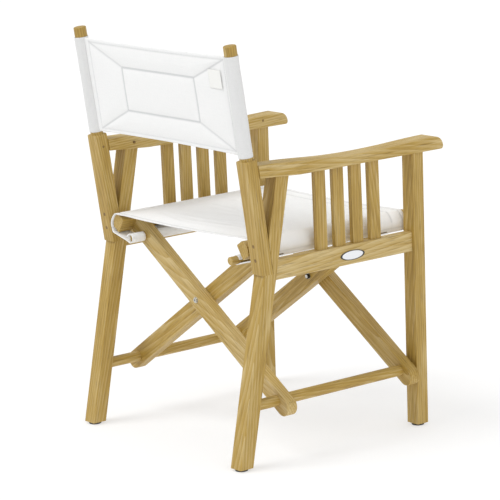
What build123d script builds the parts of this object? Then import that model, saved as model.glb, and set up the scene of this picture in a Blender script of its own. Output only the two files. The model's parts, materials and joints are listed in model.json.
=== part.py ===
"""Folding director chair: two slatted side frames, a double X-frame, a seat sling and a back sling.

The frame stands on z = 0 with the sitter facing -Y. Right and left are the sitter's own: right is -X.
"""

import os
from math import atan2, cos, degrees, hypot, radians, sin, tan

from build123d import *

# Overall sizes (mm).
HEIGHT = 900.0  # floor to the top of the back posts
HALF_DEPTH = 293.25  # middle of the chair to the front of the armrests and the back of the rear feet
HALF_WIDTH = 289.0  # middle of the chair to the outer face of a leg
TIMBER = 36.0  # width of legs and posts across the chair
MID_FRAME = HALF_WIDTH - TIMBER / 2  # middle plane of a side frame
EASE = 2.0  # rounding on long timber edges
GLIDE_HEIGHT = 5.0

# Side view of the legs. Every slope is the change in y for each mm of height.
FRONT_LEG_Y = -231.75  # front face at the foot
FRONT_LEG_DEPTH = 31.0
FRONT_LEG_SLOPE = -tan(radians(0.9))
REAR_LEG_Y = HALF_DEPTH  # rear face at the foot
REAR_LEG_DEPTH = 34.4
REAR_LEG_SLOPE = -tan(radians(11.9))

# Back posts, which sit in a notch in the rear legs.
NOTCH_Z = 410.0
POST_HEEL = 4.4  # how far the post stands out past the leg at the notch
POST_RAKE = 7.0  # degrees back from upright
POST_DEPTH = 29.0
POST_SLOPE = tan(radians(POST_RAKE))
SHOULDER_Z = 656.0
SPIGOT_R = 14.0  # round upper part of the post
SHOULDER_CHAMFER = 3.8

# Armrests.
ARM_UNDER_Z = 611.3
ARM_REAR_RISE = 6.0  # the underside lifts this much towards the post
ARM_RISE_FROM_Y = 106.0
ARM_FRONT_Y = -HALF_DEPTH
ARM_WIDTH = 50.0
ARM_REAR_WIDTH = 40.0
ARM_TAPER_FROM_Y = 76.0
ARM_TAIL_Z = 644.0
ARM_LIP = 6.0
# Front nose and dipping top of the armrest: (distance behind its front end, height).
ARM_TOP = [(5.0, 631.0), (20.0, 639.5), (70.0, 638.0), (160.0, 634.0), (330.0, 635.5), (440.0, 642.8)]
CUT_MARGIN = 10.0  # how far a cutting outline reaches past the piece it cuts

# Side rails and slats.
RAIL_TOP_Z = 437.0
RAIL_BOTTOM_Z = 394.0
SIDE_RAIL_WIDTH = 22.0
SLAT_COUNT = 4
SLAT_PITCH = 49.5
SLAT_FIRST_Y = 38.75  # middle of the rearmost slat
SLAT_DEPTH = 28.0
SLAT_WIDTH = 11.0
SLAT_SINK = 6.0  # how deep each slat end sits in its mortise
TENON_WIDTH = 12.0
TENON_LENGTH = 14.0
REAR_TENON_LENGTH = 7.0  # the rear leg is thin where the post is let in
TENON_MARGIN = 6.0  # shoulder above and below a rail tenon

# Lower stretchers, which are also the hinge pins of the X-legs.
STRETCHER_Z = 132.0
STRETCHER_R = 12.0
STRETCHER_SINK = 16.0
RUNNING_GAP = 0.06  # radial clearance of a bore that turns on its pin

# X-frame.
PIVOT_Z = 309.0
XLEG_WIDTH = 40.0
XLEG_DEPTH = 26.0
XLEG_FOOT = 21.0  # lower hinge to the middle of the rounded foot
XFRAME_MID_Y = -8.75
OUTER_PAIR_HALF = 185.0  # middle of the X-frame to the far face of the outer legs
LEG_GAP = 1.0
SEAT_RAIL_X = 227.0  # middle of a seat rail
SEAT_RAIL_HALF_LENGTH = 223.0
SEAT_RAIL_HALF_HEIGHT = 18.0
SEAT_RAIL_INNER = 12.0  # middle of the rail to its flat inner face
SEAT_RAIL_SHOULDER = 8.0
SEAT_RAIL_CROWN = 17.0  # middle of the rail to the crown of its rounded outer face
XLEG_TENON = 10.0
ROD_X = 182.0
ROD_R = 9.0
ROD_HALF_LENGTH = 224.0
LEFT_ROD_SHIFT = 6.0  # the left rod sits this much further forward, inside the end of its hem
BOLT_R = 4.0
BOLT_HEAD_R = 5.5
BOLT_HEAD_HEIGHT = 2.5
SOCKET_R = 3.0
SOCKET_DEPTH = 1.5
BOLT_TAIL = 1.5  # thread that stands past the nut
WASHER_R = 6.5
WASHER_THICK = 0.8
NUT_R = 6.0
NUT_HEIGHT = 5.0
PAIR_DEPTH = 2 * XLEG_DEPTH + LEG_GAP
FREE_PLAY = 0.2  # end play of the inner leg between its washers
BOLT_LENGTH = BOLT_HEAD_HEIGHT + 2 * WASHER_THICK + PAIR_DEPTH + FREE_PLAY + NUT_HEIGHT + BOLT_TAIL

# Slings.
CLOTH = 3.0
CLOTH_GAP = 0.3
SEAT_PAD = 6.0
SEAT_REAR_Y = 206.0
SEAT_FRONT_Y = -220.0
NOTCH_CLEAR = 3.0
SLEEVE_R = 15.9
BACK_BOTTOM_Z = 664.0
BACK_LENGTH = 213.0
BACK_PAD = 5.0
LABEL_SIZE = (42.0, 40.0)
LABEL_X = -211.0
LABEL_Z = 824.0
LABEL_THICK = 0.8
SEAT_LAP = 12.0  # overlap of each wrap with the flat seat
OPENING_SIZE = (84.0, 48.0)  # cut in a wrap where a leg passes through
OPENING_INWARD = 36.0  # middle of the rail to the middle of that opening, along the leg
OPENING_DROP = 10.0  # and below the middle of the leg
BADGE_SIZE = (66.0, 21.0)
BADGE_Y = -37.75
BADGE_Z = 414.0
BADGE_THICK = 1.0
BADGE_RIM = 1.2
BADGE_RIM_HEIGHT = 0.5

# Glides, plugs and pins.
GLIDE_R = 14.0
GLIDE_EASE = 1.5
GLIDE_STEM_R = 3.0
GLIDE_STEM = 14.0
PLUG_R = 4.0
PLUG_DEPTH = 10.0
PLUG_HEIGHTS = (441.0, 472.0)
PIN_R = 3.0
PIN_DEPTH = 8.0
ARM_PIN_Z = 628.0
FRONT_ARM_PIN_INSET = 10.0

SIDES = {"right": -1, "left": 1}
XLEG_ANGLE = degrees(atan2(PIVOT_Z - STRETCHER_Z, MID_FRAME))
PIVOT_REACH = hypot(MID_FRAME, PIVOT_Z - STRETCHER_Z)  # lower hinge to middle pivot
RAIL_REACH = SEAT_RAIL_X / cos(radians(XLEG_ANGLE))  # middle pivot to seat rail
ROD_REACH = ROD_X / cos(radians(XLEG_ANGLE))  # middle pivot to sling rod

os.makedirs("parts", exist_ok=True)


def front_leg_y(z):
    """Front face of the front leg at height z."""
    return FRONT_LEG_Y + FRONT_LEG_SLOPE * (z - GLIDE_HEIGHT)


def front_leg_back(z):
    """Rear face of the front leg at height z."""
    return front_leg_y(z) + FRONT_LEG_DEPTH


def rear_leg_back(z):
    """Rear face of the rear leg at height z."""
    return REAR_LEG_Y + REAR_LEG_SLOPE * (z - GLIDE_HEIGHT)


def rear_leg_front(z):
    """Front face of the rear leg at height z."""
    return rear_leg_back(z) - REAR_LEG_DEPTH


def post_back(z):
    """Rear face of the back post at height z."""
    return rear_leg_back(NOTCH_Z) + POST_HEEL + POST_SLOPE * (z - NOTCH_Z)


def post_front(z):
    """Front face of the back post at height z."""
    return post_back(z) - POST_DEPTH / cos(radians(POST_RAKE))


def post_axis(z):
    """Middle of the back post at height z."""
    return (post_back(z) + post_front(z)) / 2


def arm_under(y):
    """Height of the armrest's underside at y."""
    tail_y = post_front(ARM_UNDER_Z + ARM_REAR_RISE)
    return ARM_UNDER_Z + ARM_REAR_RISE * max(0.0, y - ARM_RISE_FROM_Y) / (tail_y - ARM_RISE_FROM_Y)


def post_plane(z, x=0.0):
    """Plane square to the back posts, its normal up along them."""
    return Plane(origin=(x, post_axis(z), z), x_dir=(1, 0, 0),
                 z_dir=(0, sin(radians(POST_RAKE)), cos(radians(POST_RAKE))))


def leg_plane(side, y, reach=0.0):
    """Plane of an X-leg hinged on `side`: x runs up along the leg, the normal points to the front."""
    slope = radians(XLEG_ANGLE)
    return Plane(origin=(side * (MID_FRAME - reach * cos(slope)), y, STRETCHER_Z + reach * sin(slope)),
                 x_dir=(-side * cos(slope), 0, sin(slope)), z_dir=(0, -1, 0))


def prism(side, inset, width, points, mode=Mode.ADD):
    """Extrude a side-view outline inwards, starting `inset` inside the outer face of the legs."""
    with BuildSketch(Plane.YZ.offset(side * (HALF_WIDTH - inset))) as outline:
        with BuildLine():
            Polyline(*points, close=True)
        make_face()
    extrude(outline.sketch, amount=-side * width, mode=mode)


def centred(side, width, points, mode=Mode.ADD):
    """Extrude a side-view outline by `width`, centred on the middle plane of the side frame."""
    prism(side, (TIMBER - width) / 2, width, points, mode)


def rod(plane, radius, length, mode=Mode.ADD):
    """Extrude a round bar from a plane."""
    with BuildSketch(plane) as section:
        Circle(radius)
    extrude(section.sketch, amount=length, mode=mode)


def front_tenon():
    """Side-view outline of the side rail's front tenon, let into the front leg."""
    low, high = RAIL_BOTTOM_Z + TENON_MARGIN, RAIL_TOP_Z - TENON_MARGIN
    return [(front_leg_back(low), low), (front_leg_back(high), high),
            (front_leg_back(high) - TENON_LENGTH, high), (front_leg_back(low) - TENON_LENGTH, low)]


def rear_tenon():
    """Side-view outline of the side rail's rear tenon, let into the rear leg."""
    low, high = RAIL_BOTTOM_Z + TENON_MARGIN, RAIL_TOP_Z - TENON_MARGIN
    return [(rear_leg_front(low), low), (rear_leg_front(high), high),
            (rear_leg_front(high) + REAR_TENON_LENGTH, high), (rear_leg_front(low) + REAR_TENON_LENGTH, low)]


def leg_tenon(front_y, back_y):
    """Side-view outline of the tenon on top of a leg, let into the armrest."""
    near, far = front_y + TENON_MARGIN, back_y - TENON_MARGIN
    top = ARM_UNDER_Z + TENON_LENGTH
    return [(near, arm_under(near)), (far, arm_under(far)), (far, top), (near, top)]


def arm_tenons():
    """Outlines of the front and rear leg tenons under the armrest."""
    return [leg_tenon(front_leg_y(ARM_UNDER_Z), front_leg_back(ARM_UNDER_Z)),
            leg_tenon(rear_leg_front(ARM_UNDER_Z), rear_leg_back(ARM_UNDER_Z))]


def slat_outline(index):
    """Side-view outline of one slat, with the ends that sit in the mortises."""
    back = SLAT_FIRST_Y - index * SLAT_PITCH + SLAT_DEPTH / 2
    low, high = RAIL_TOP_Z - SLAT_SINK, ARM_UNDER_Z + SLAT_SINK
    return [(back - SLAT_DEPTH, low), (back, low), (back, high), (back - SLAT_DEPTH, high)]


def stretcher_plane(side):
    """Rear end of the lower stretcher, its normal pointing to the front."""
    start = rear_leg_front(STRETCHER_Z) + STRETCHER_SINK
    return Plane(origin=(side * MID_FRAME, start, STRETCHER_Z), x_dir=(1, 0, 0), z_dir=(0, -1, 0))


def stretcher_length():
    """Length of the lower stretcher, with the ends that sit in the legs."""
    return rear_leg_front(STRETCHER_Z) - front_leg_back(STRETCHER_Z) + 2 * STRETCHER_SINK


def glide_centres(side):
    """Middles of the two feet of one side frame."""
    front = (front_leg_y(0) + front_leg_back(0)) / 2
    rear = (rear_leg_front(0) + rear_leg_back(0)) / 2
    return [(side * MID_FRAME, front), (side * MID_FRAME, rear)]


def pin_spots():
    """Places of the wooden locking pins: (node they sit in, inner face from the middle, y, z)."""
    inner = HALF_WIDTH - TIMBER
    arm = MID_FRAME - ARM_WIDTH / 2
    middle = (RAIL_BOTTOM_Z + RAIL_TOP_Z) / 2
    return [("armrest", arm, front_leg_back(ARM_PIN_Z) - FRONT_ARM_PIN_INSET, ARM_PIN_Z),
            ("armrest", arm, rear_leg_back(ARM_PIN_Z) - REAR_LEG_DEPTH / 2, ARM_PIN_Z),
            ("back_post", inner, post_axis(ARM_PIN_Z), ARM_PIN_Z),
            ("rear_leg", inner, rear_leg_front(middle) + REAR_TENON_LENGTH, middle),
            ("front_leg", inner, front_leg_back(middle) - TENON_LENGTH / 2, middle)]


def locking_pins(side, node, mode):
    """Bars for the locking pins that sit in `node`, or in every node when it is None."""
    for owner, inner, y, z in pin_spots():
        if node in (None, owner):
            start = Plane(origin=(side * inner, y, z), x_dir=(0, 1, 0), z_dir=(side, 0, 0))
            rod(start, PIN_R, PIN_DEPTH, mode)


def screw_plugs(side, mode):
    """Bars for the two plugged screws through the heel of the back post."""
    for z in PLUG_HEIGHTS:
        start = post_plane(z, side * MID_FRAME)
        rod(Plane(origin=(side * MID_FRAME, post_back(z), z), x_dir=(1, 0, 0), z_dir=-start.y_dir),
            PLUG_R, PLUG_DEPTH, mode)


def long_edges(part, length):
    """Edges of a part that are at least `length` long."""
    return part.edges().filter_by(lambda edge: edge.length > length)


def save(part, name):
    """Label a finished piece and write its STEP file."""
    part.label = name
    export_step(part, f"parts/{name}.step")


def make_front_leg(side, name):
    """Upright front leg with a tenon on top and mortises for rail and stretcher."""
    top = ARM_UNDER_Z
    with BuildPart() as front_leg:
        prism(side, 0, TIMBER, [(front_leg_y(GLIDE_HEIGHT), GLIDE_HEIGHT),
                                (front_leg_back(GLIDE_HEIGHT), GLIDE_HEIGHT),
                                (front_leg_back(top), top), (front_leg_y(top), top)])
        fillet(long_edges(front_leg, 500), EASE)
        centred(side, TENON_WIDTH, arm_tenons()[0])
        centred(side, TENON_WIDTH, front_tenon(), Mode.SUBTRACT)
        rod(stretcher_plane(side), STRETCHER_R, stretcher_length(), Mode.SUBTRACT)
        glide_stems(side, Mode.SUBTRACT)
        locking_pins(side, "front_leg", Mode.SUBTRACT)
    save(front_leg.part, name)


def make_rear_leg(side, name):
    """Rear leg raking forwards, notched for the foot of the back post."""
    crotch = NOTCH_Z + (rear_leg_back(NOTCH_Z) - post_front(NOTCH_Z)) / (POST_SLOPE - REAR_LEG_SLOPE)
    back_y, front_y = rear_leg_back(ARM_UNDER_Z), rear_leg_front(ARM_UNDER_Z)
    with BuildPart() as rear_leg:
        prism(side, 0, TIMBER, [(rear_leg_front(GLIDE_HEIGHT), GLIDE_HEIGHT),
                                (rear_leg_back(GLIDE_HEIGHT), GLIDE_HEIGHT),
                                (rear_leg_back(NOTCH_Z), NOTCH_Z), (post_front(NOTCH_Z), NOTCH_Z),
                                (rear_leg_back(crotch), crotch),
                                (back_y, arm_under(back_y)), (front_y, arm_under(front_y))])
        fillet(long_edges(rear_leg, 300), EASE)
        centred(side, TENON_WIDTH, arm_tenons()[1])
        centred(side, TENON_WIDTH, rear_tenon(), Mode.SUBTRACT)
        rod(stretcher_plane(side), STRETCHER_R, stretcher_length(), Mode.SUBTRACT)
        glide_stems(side, Mode.SUBTRACT)
        locking_pins(side, "rear_leg", Mode.SUBTRACT)
    save(rear_leg.part, name)


def make_back_post(side, name):
    """Reclined back post: square below, with a round spigot above the shoulder for the back sling."""
    tip = HEIGHT - SPIGOT_R * sin(radians(POST_RAKE))
    with BuildPart() as back_post:
        prism(side, 0, TIMBER, [(post_front(NOTCH_Z), NOTCH_Z), (post_back(NOTCH_Z), NOTCH_Z),
                                (post_back(SHOULDER_Z + 10), SHOULDER_Z + 10),
                                (post_front(SHOULDER_Z + 10), SHOULDER_Z + 10)])
        split(bisect_by=post_plane(SHOULDER_Z), keep=Keep.BOTTOM)
        crown = back_post.faces().sort_by(Axis.Z)[-1]
        chamfer(crown.edges().filter_by(lambda edge: abs(abs(edge.center().X) - MID_FRAME) > SPIGOT_R),
                SHOULDER_CHAMFER)
        fillet(long_edges(back_post, 200), EASE)
        spigot_length = (tip - SHOULDER_Z) / cos(radians(POST_RAKE))
        rod(post_plane(SHOULDER_Z, side * MID_FRAME), SPIGOT_R, spigot_length)
        fillet(back_post.faces().sort_by(Axis.Z)[-1].edges(), EASE)
        screw_plugs(side, Mode.SUBTRACT)
        locking_pins(side, "back_post", Mode.SUBTRACT)
    save(back_post.part, name)


def make_armrest(side, name):
    """Armrest with a dipping top, a rounded front end and a tail tapered to the post."""
    tail_low = ARM_UNDER_Z + ARM_REAR_RISE
    beyond = post_front(ARM_TAIL_Z) + CUT_MARGIN
    with BuildPart() as armrest:
        with BuildSketch(Plane.YZ.offset(side * (MID_FRAME + ARM_WIDTH / 2))):
            with BuildLine():
                under = Polyline((post_front(tail_low), tail_low), (ARM_RISE_FROM_Y, ARM_UNDER_Z),
                                 (ARM_FRONT_Y + ARM_LIP, ARM_UNDER_Z))
                lip = RadiusArc(under @ 1, (ARM_FRONT_Y, ARM_UNDER_Z + ARM_LIP), ARM_LIP)
                bulge, *crest = [(ARM_FRONT_Y + back, z) for back, z in ARM_TOP]
                nose = ThreePointArc(lip @ 1, bulge, crest[0])
                top = Spline(*crest, (post_front(ARM_TAIL_Z), ARM_TAIL_Z))
                Line(top @ 1, under @ 0)
            make_face()
        extrude(amount=-side * ARM_WIDTH)
        with BuildSketch(Plane(origin=(side * MID_FRAME, 0, ARM_UNDER_Z - CUT_MARGIN))):
            with BuildLine():
                Polyline((ARM_WIDTH / 2, ARM_FRONT_Y - CUT_MARGIN), (ARM_WIDTH / 2, ARM_TAPER_FROM_Y),
                         (ARM_REAR_WIDTH / 2, beyond), (-ARM_REAR_WIDTH / 2, beyond),
                         (-ARM_WIDTH / 2, ARM_TAPER_FROM_Y), (-ARM_WIDTH / 2, ARM_FRONT_Y - CUT_MARGIN),
                         close=True)
            make_face()
        extrude(amount=ARM_TAIL_Z - ARM_UNDER_Z + 2 * CUT_MARGIN, mode=Mode.INTERSECT)
        upper = long_edges(armrest, 100).filter_by(lambda edge: edge.center().Z > ARM_UNDER_Z + CUT_MARGIN)
        fillet(upper, EASE)
        for outline in arm_tenons():
            centred(side, TENON_WIDTH, outline, Mode.SUBTRACT)
        for index in range(SLAT_COUNT):
            centred(side, SLAT_WIDTH, slat_outline(index), Mode.SUBTRACT)
        locking_pins(side, "armrest", Mode.SUBTRACT)
    save(armrest.part, name)


def make_side_rail(side, name):
    """Rail at seat height between the legs, tenoned into both and mortised for the slats."""
    with BuildPart() as side_rail:
        centred(side, SIDE_RAIL_WIDTH, [(rear_leg_front(RAIL_BOTTOM_Z), RAIL_BOTTOM_Z),
                                        (rear_leg_front(RAIL_TOP_Z), RAIL_TOP_Z),
                                        (front_leg_back(RAIL_TOP_Z), RAIL_TOP_Z),
                                        (front_leg_back(RAIL_BOTTOM_Z), RAIL_BOTTOM_Z)])
        fillet(long_edges(side_rail, 300), EASE)
        centred(side, TENON_WIDTH, front_tenon())
        centred(side, TENON_WIDTH, rear_tenon())
        for index in range(SLAT_COUNT):
            centred(side, SLAT_WIDTH, slat_outline(index), Mode.SUBTRACT)
    save(side_rail.part, name)


def make_slat(side, index, name):
    """One upright slat between side rail and armrest."""
    with BuildPart() as slat:
        centred(side, SLAT_WIDTH, slat_outline(index))
    save(slat.part, name)


def make_stretcher(side, name):
    """Round lower stretcher that the X-legs turn on."""
    with BuildPart() as stretcher:
        rod(stretcher_plane(side), STRETCHER_R, stretcher_length())
    save(stretcher.part, name)


def glide_stems(side, mode):
    """Stems of the two glides, which push up into the feet."""
    for x, y in glide_centres(side):
        rod(Plane.XY.offset(GLIDE_HEIGHT).move(Location((x, y, 0))), GLIDE_STEM_R, GLIDE_STEM, mode)


def make_glides(side, name):
    """Round plastic glides under the two feet of a side frame."""
    with BuildPart() as glides:
        with BuildSketch():
            with Locations(*glide_centres(side)):
                Circle(GLIDE_R)
        extrude(amount=GLIDE_HEIGHT)
        fillet(glides.faces().filter_by(Axis.Z).sort_by(Axis.Z)[:2].edges(), GLIDE_EASE)
        glide_stems(side, Mode.ADD)
    save(glides.part, name)


def make_screw_plugs(side, name):
    """Plugs over the two screws in the heel of a back post."""
    with BuildPart() as plugs:
        screw_plugs(side, Mode.ADD)
    save(plugs.part, name)


def make_locking_pins(side, name):
    """Wooden pins that lock the mortise-and-tenon joints of a side frame."""
    with BuildPart() as pins:
        locking_pins(side, None, Mode.ADD)
    save(pins.part, name)


def make_side_frame(side_name, side):
    """All pieces of one side frame."""
    make_front_leg(side, f"{side_name}_front_leg")
    make_rear_leg(side, f"{side_name}_rear_leg")
    make_back_post(side, f"{side_name}_back_post")
    make_armrest(side, f"{side_name}_armrest")
    make_side_rail(side, f"{side_name}_side_rail")
    for index in range(SLAT_COUNT):
        make_slat(side, index, f"{side_name}_slat_{index + 1}")
    make_stretcher(side, f"{side_name}_stretcher")
    make_glides(side, f"{side_name}_glides")
    make_screw_plugs(side, f"{side_name}_screw_plugs")
    make_locking_pins(side, f"{side_name}_locking_pins")


def xleg_faces():
    """Rear face of each X-leg: outer rear, inner rear, inner front, outer front."""
    outer_rear = XFRAME_MID_Y + OUTER_PAIR_HALF
    inner_rear = outer_rear - XLEG_DEPTH - LEG_GAP
    outer_front = XFRAME_MID_Y - OUTER_PAIR_HALF + XLEG_DEPTH
    return outer_rear, inner_rear, outer_front + LEG_GAP + XLEG_DEPTH, outer_front


def make_xleg(side, y, pivot_gap, name):
    """X-leg hinged on the stretcher of `side`, crossing to the seat rail on the other side."""
    end = PIVOT_REACH + RAIL_REACH - SEAT_RAIL_INNER
    with BuildPart() as xleg:
        with BuildSketch(leg_plane(side, y)):
            with Locations((-XLEG_FOOT, 0)):
                Circle(XLEG_WIDTH / 2)
            with Locations(((end - XLEG_FOOT) / 2, 0)):
                Rectangle(end + XLEG_FOOT, XLEG_WIDTH)
            with Locations((0, 0)):
                Circle(STRETCHER_R + RUNNING_GAP, mode=Mode.SUBTRACT)
            with Locations((PIVOT_REACH, 0)):
                Circle(BOLT_R + pivot_gap, mode=Mode.SUBTRACT)
            with Locations((PIVOT_REACH + ROD_REACH, 0)):
                Circle(ROD_R, mode=Mode.SUBTRACT)
        extrude(amount=XLEG_DEPTH)
        fillet(long_edges(xleg, 500), EASE)
        xleg_tenon(side, y, Mode.ADD)
    save(xleg.part, name)


def xleg_tenon(side, y, mode):
    """Tenon on the top end of an X-leg, let into the seat rail."""
    start = leg_plane(side, y - XLEG_DEPTH / 2, PIVOT_REACH + RAIL_REACH - SEAT_RAIL_INNER + XLEG_TENON / 2)
    with BuildSketch(start.offset(-TENON_WIDTH / 2)) as section:
        Rectangle(XLEG_TENON, 2 * TENON_WIDTH)
    extrude(section.sketch, amount=TENON_WIDTH, mode=mode)


def make_seat_rail(side, leg_ys, name):
    """Seat rail over the tops of the legs hinged on `side`: flat inside, rounded outside."""
    start = leg_plane(side, XFRAME_MID_Y + SEAT_RAIL_HALF_LENGTH, PIVOT_REACH + RAIL_REACH)
    with BuildPart() as seat_rail:
        with BuildSketch(start):
            with BuildLine():
                flat = Polyline((SEAT_RAIL_SHOULDER, -SEAT_RAIL_HALF_HEIGHT),
                                (-SEAT_RAIL_INNER, -SEAT_RAIL_HALF_HEIGHT),
                                (-SEAT_RAIL_INNER, SEAT_RAIL_HALF_HEIGHT),
                                (SEAT_RAIL_SHOULDER, SEAT_RAIL_HALF_HEIGHT))
                ThreePointArc(flat @ 1, (SEAT_RAIL_CROWN, 0), flat @ 0)
            make_face()
        extrude(amount=2 * SEAT_RAIL_HALF_LENGTH)
        fillet(long_edges(seat_rail, 400), EASE)
        for y in leg_ys:
            xleg_tenon(side, y, Mode.SUBTRACT)
    save(seat_rail.part, name)


def make_sling_rod(side, shift, name):
    """Rod inside the seat sling's hem, through the legs hinged on `side`, `shift` further forward."""
    start = leg_plane(side, XFRAME_MID_Y + ROD_HALF_LENGTH - shift, PIVOT_REACH + ROD_REACH)
    with BuildPart() as sling_rod:
        rod(start, ROD_R, 2 * ROD_HALF_LENGTH)
        fillet(sling_rod.edges().filter_by(GeomType.CIRCLE), 1.0)
    save(sling_rod.part, name)


def pivot_stack():
    """Outside face and inward direction of each bolted pair of legs."""
    rear = XFRAME_MID_Y + OUTER_PAIR_HALF
    front = XFRAME_MID_Y - OUTER_PAIR_HALF
    return [(rear, -1), (front, 1)]


def pivot_plane(y, inward):
    """Plane on the pivot axis whose normal points towards the middle of the X-frame."""
    return Plane(origin=(0, y, PIVOT_Z), x_dir=(1, 0, 0), z_dir=(0, inward, 0))


def ring(plane, outer, inner, thick):
    """Flat washer."""
    with BuildSketch(plane) as section:
        Circle(outer)
        Circle(inner, mode=Mode.SUBTRACT)
    extrude(section.sketch, amount=thick)


def make_pivot_bolts(name):
    """Socket-head bolts that the two pairs of X-legs turn on."""
    with BuildPart() as bolts:
        for y, inward in pivot_stack():
            head = pivot_plane(y - inward * (WASHER_THICK + BOLT_HEAD_HEIGHT), inward)
            rod(head, BOLT_HEAD_R, BOLT_HEAD_HEIGHT)
            rod(head, BOLT_R, BOLT_LENGTH)
            with BuildSketch(head) as socket:
                RegularPolygon(SOCKET_R, 6)
            extrude(socket.sketch, amount=SOCKET_DEPTH, mode=Mode.SUBTRACT)
    save(bolts.part, name)


def make_pivot_washers(name):
    """Washers under each bolt head, between the legs and under each nut."""
    with BuildPart() as washers:
        for y, inward in pivot_stack():
            ring(pivot_plane(y - inward * WASHER_THICK, inward), WASHER_R, BOLT_R, WASHER_THICK)
            ring(pivot_plane(y + inward * XLEG_DEPTH, inward), WASHER_R, BOLT_R, WASHER_THICK)
            ring(pivot_plane(y + inward * (PAIR_DEPTH + FREE_PLAY), inward), WASHER_R, BOLT_R, WASHER_THICK)
    save(washers.part, name)


def make_pivot_nuts(name):
    """Locking nuts on the inner ends of the pivot bolts."""
    with BuildPart() as nuts:
        for y, inward in pivot_stack():
            start = pivot_plane(y + inward * (PAIR_DEPTH + FREE_PLAY + WASHER_THICK), inward)
            with BuildSketch(start) as section:
                RegularPolygon(NUT_R, 6)
                Circle(BOLT_R, mode=Mode.SUBTRACT)
            extrude(section.sketch, amount=NUT_HEIGHT)
    save(nuts.part, name)


def make_seat_sling(outer_ys, inner_ys, name):
    """Seat sling: flat seat, both side wraps round the seat rails and the hems round the rods."""
    reach = PIVOT_REACH + RAIL_REACH
    wrap = CLOTH_GAP + CLOTH / 2
    low_v = SEAT_RAIL_HALF_HEIGHT + wrap
    length = SEAT_REAR_Y - SEAT_FRONT_Y
    seat_z = leg_plane(-1, 0, reach).from_local_coords((SEAT_RAIL_SHOULDER + 1, low_v, 0)).Z
    with BuildPart() as seat_sling:
        for side in SIDES.values():
            up = -side  # local y of leg_plane points down on the left and up on the right
            plane = leg_plane(side, SEAT_REAR_Y, reach)
            rod_u = ROD_REACH - RAIL_REACH
            with BuildSketch(plane) as band:
                with BuildLine() as path:
                    strip = Polyline((rod_u, -up * (ROD_R + wrap)), (-SEAT_RAIL_INNER, -up * low_v),
                                     (SEAT_RAIL_SHOULDER, -up * low_v))
                    top = (SEAT_RAIL_SHOULDER, up * low_v)
                    bow = ThreePointArc(strip @ 1, (SEAT_RAIL_CROWN + wrap, 0), top)
                    Line(bow @ 1, (SEAT_RAIL_SHOULDER - SEAT_LAP * cos(radians(XLEG_ANGLE)),
                                   up * (low_v + SEAT_LAP * sin(radians(XLEG_ANGLE)))))
                trace(path.line, line_width=CLOTH)
            extrude(band.sketch, amount=length)
            hem_plane = leg_plane(side, SEAT_REAR_Y, PIVOT_REACH + ROD_REACH)
            with BuildSketch(hem_plane) as hem:
                Circle(ROD_R + CLOTH_GAP + CLOTH)
            extrude(hem.sketch, amount=length)
            rod(hem_plane, ROD_R + CLOTH_GAP, length, Mode.SUBTRACT)
            for y in outer_ys if side < 0 else inner_ys:
                gap = leg_plane(side, y + NOTCH_CLEAR, reach - OPENING_INWARD)
                with BuildSketch(gap) as opening:
                    with Locations((0, -up * OPENING_DROP)):
                        Rectangle(*OPENING_SIZE)
                extrude(opening.sketch, amount=XLEG_DEPTH + 2 * NOTCH_CLEAR, mode=Mode.SUBTRACT)
        with BuildSketch(Plane.XY.offset(seat_z - SEAT_PAD / 2)) as seat:
            with Locations((0, (SEAT_REAR_Y + SEAT_FRONT_Y) / 2)):
                Rectangle(2 * 212.0, length)
        extrude(seat.sketch, amount=SEAT_PAD)
    save(seat_sling.part, name)


def make_back_sling(name):
    """Back sling: padded panel with a sleeve over each post spigot."""
    with BuildPart() as back_sling:
        with BuildSketch(post_plane(BACK_BOTTOM_Z)):
            Rectangle(2 * MID_FRAME, BACK_PAD)
            with Locations((-MID_FRAME, 0), (MID_FRAME, 0)):
                Circle(SLEEVE_R)
            with Locations((-MID_FRAME, 0), (MID_FRAME, 0)):
                Circle(SPIGOT_R + CLOTH_GAP, mode=Mode.SUBTRACT)
        extrude(amount=BACK_LENGTH)
    save(back_sling.part, name)


def make_back_label(name):
    """Small blank label sewn to the rear of the back sling."""
    middle = post_plane(LABEL_Z, LABEL_X)
    with BuildPart() as back_label:
        with BuildSketch(Plane(origin=middle.origin + middle.y_dir * BACK_PAD / 2,
                               x_dir=(1, 0, 0), z_dir=middle.y_dir)):
            Rectangle(*LABEL_SIZE)
        extrude(amount=LABEL_THICK)
    save(back_label.part, name)


def make_badge_plate(name):
    """Blank oval plate on the outside of the right side rail."""
    face = MID_FRAME + SIDE_RAIL_WIDTH / 2
    plane = Plane(origin=(-face, BADGE_Y, BADGE_Z), x_dir=(0, 1, 0), z_dir=(-1, 0, 0))
    with BuildPart() as badge_plate:
        with BuildSketch(plane):
            Ellipse(BADGE_SIZE[0] / 2, BADGE_SIZE[1] / 2)
        extrude(amount=BADGE_THICK)
        with BuildSketch(plane.offset(BADGE_THICK)):
            Ellipse(BADGE_SIZE[0] / 2, BADGE_SIZE[1] / 2)
            Ellipse(BADGE_SIZE[0] / 2 - BADGE_RIM, BADGE_SIZE[1] / 2 - BADGE_RIM, mode=Mode.SUBTRACT)
        extrude(amount=BADGE_RIM_HEIGHT)
    save(badge_plate.part, name)


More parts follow.
